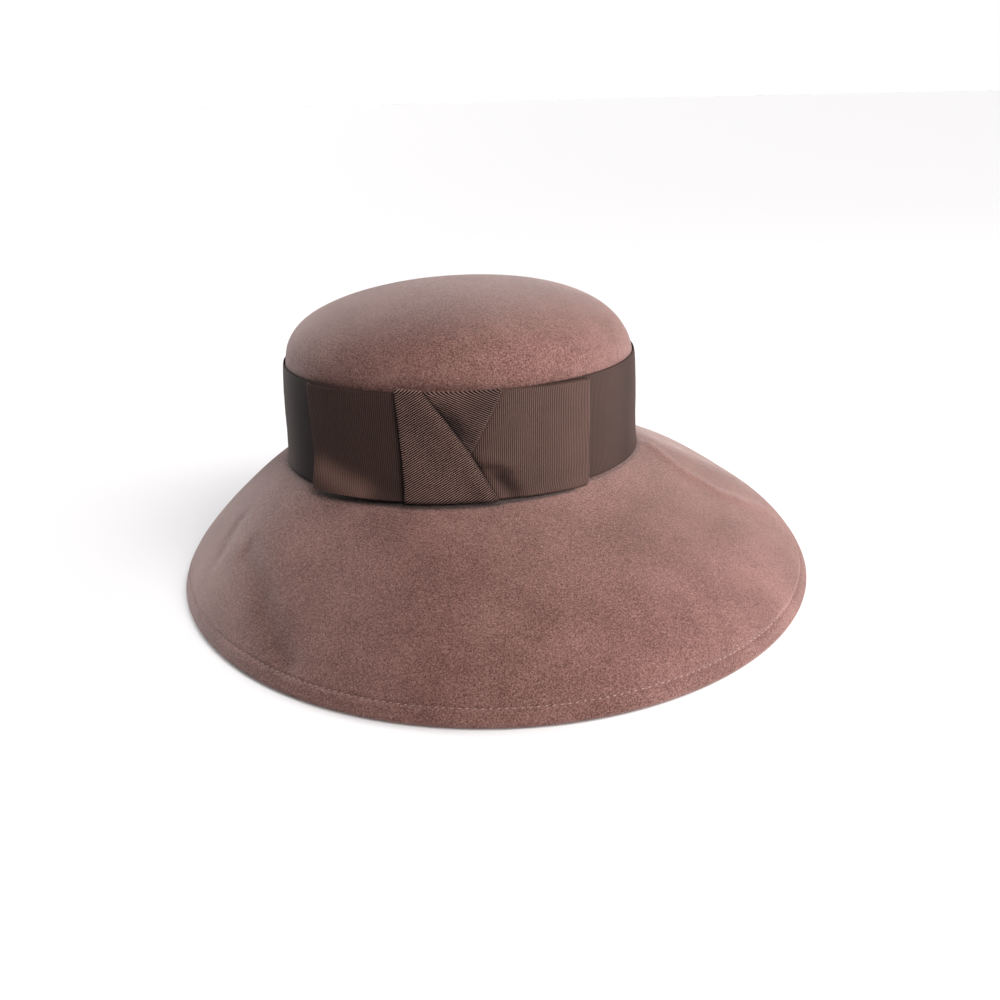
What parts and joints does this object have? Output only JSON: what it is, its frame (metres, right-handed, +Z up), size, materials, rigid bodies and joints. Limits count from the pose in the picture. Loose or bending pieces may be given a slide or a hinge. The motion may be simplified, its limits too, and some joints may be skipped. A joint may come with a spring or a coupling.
{
  "type": "felt hat",
  "caption": "Wide-brimmed felt hat: rounded oval crown, drooping brim with a stitched folded edge, ribbon band and a flat tailored bow.",
  "frame": {"origin": "middle of the brim's edge, on the surface that the hat rests on", "axes": "+X the wearer's front, +Y the wearer's left, +Z up through the crown; the bow is on the -Y side"},
  "size_m": [0.3698, 0.379, 0.164],
  "materials": {
    "felt": "soft brushed wool felt, dusty rose brown",
    "ribbon": "ribbed grosgrain ribbon, taupe brown, slight sheen"
  },
  "bodies": {
    "root": {"felt_body": "felt", "band": "ribbon", "bow_left_loop": "ribbon", "bow_right_loop": "ribbon", "bow_fold": "ribbon", "bow_knot": "ribbon"}
  },
  "joints": []
}
